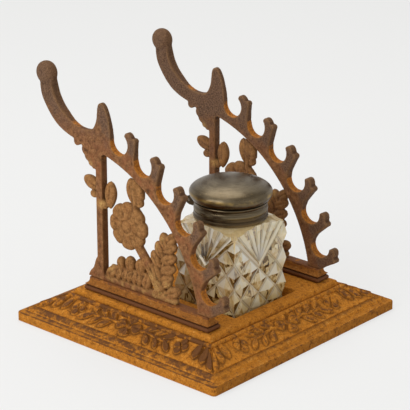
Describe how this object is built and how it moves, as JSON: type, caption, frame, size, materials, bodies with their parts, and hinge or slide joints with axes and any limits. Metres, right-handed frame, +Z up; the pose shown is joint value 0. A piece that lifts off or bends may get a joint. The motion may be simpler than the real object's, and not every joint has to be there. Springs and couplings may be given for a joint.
{
  "type": "desk inkstand",
  "caption": "Cast-iron desk inkstand: a sloped square stand, a pair of openwork curved pen racks, and a loose cut-glass ink well under a hinged domed brass lid.",
  "frame": {"origin": "on the table, under the middle of the whole inkstand's outer box; the square stand's own centre lies 4.55 mm in front of it because the racks' rear knobs overhang the back", "axes": "+X to the right, +Y to the back where the knobs and the lid's hinge are, +Z up"},
  "size_m": [0.158, 0.1611, 0.1476],
  "materials": {
    "rusted_stand": "ochre and orange rust over dark brown iron, matte",
    "rusted_rail": "orange rust on the mouldings, brown where worn, matte",
    "brown_iron": "smooth brown patina with rust in the hollows, satin",
    "screw_steel": "dull and rusted",
    "well_glass": "clear pressed glass with a faint straw tint",
    "plaster": "dry plaster, matte",
    "dark_brass": "nearly black tarnish with brass at the edges",
    "lid_brass": "brushed, olive and grey-brown tarnish",
    "pin_steel": "dull"
  },
  "bodies": {
    "root": {"stand": "rusted_stand", "left_rail": "rusted_rail", "left_rack": "brown_iron", "left_spray": "brown_iron", "right_rail": "rusted_rail", "right_rack": "brown_iron", "right_spray": "brown_iron", "rack_screws": "screw_steel"},
    "well": {"glass_well": "well_glass", "collar_cement": "plaster", "neck_collar": "dark_brass", "collar_hinge": "dark_brass", "hinge_pin": "pin_steel"},
    "lid": {"lid_hinge": "lid_brass", "lid_rim": "lid_brass", "lid_dome": "lid_brass"}
  },
  "joints": [
    {"name": "well_lift", "type": "slide", "parent": "root", "child": "well", "axis": [0, 0, 1], "range_m": [0, 0.05]},
    {"name": "lid_turn", "type": "hinge", "parent": "well", "child": "lid", "pos_m": [0, 0.00345, 0.0705], "axis": [-1, 0, 0], "range_deg": [0, 105]}
  ]
}
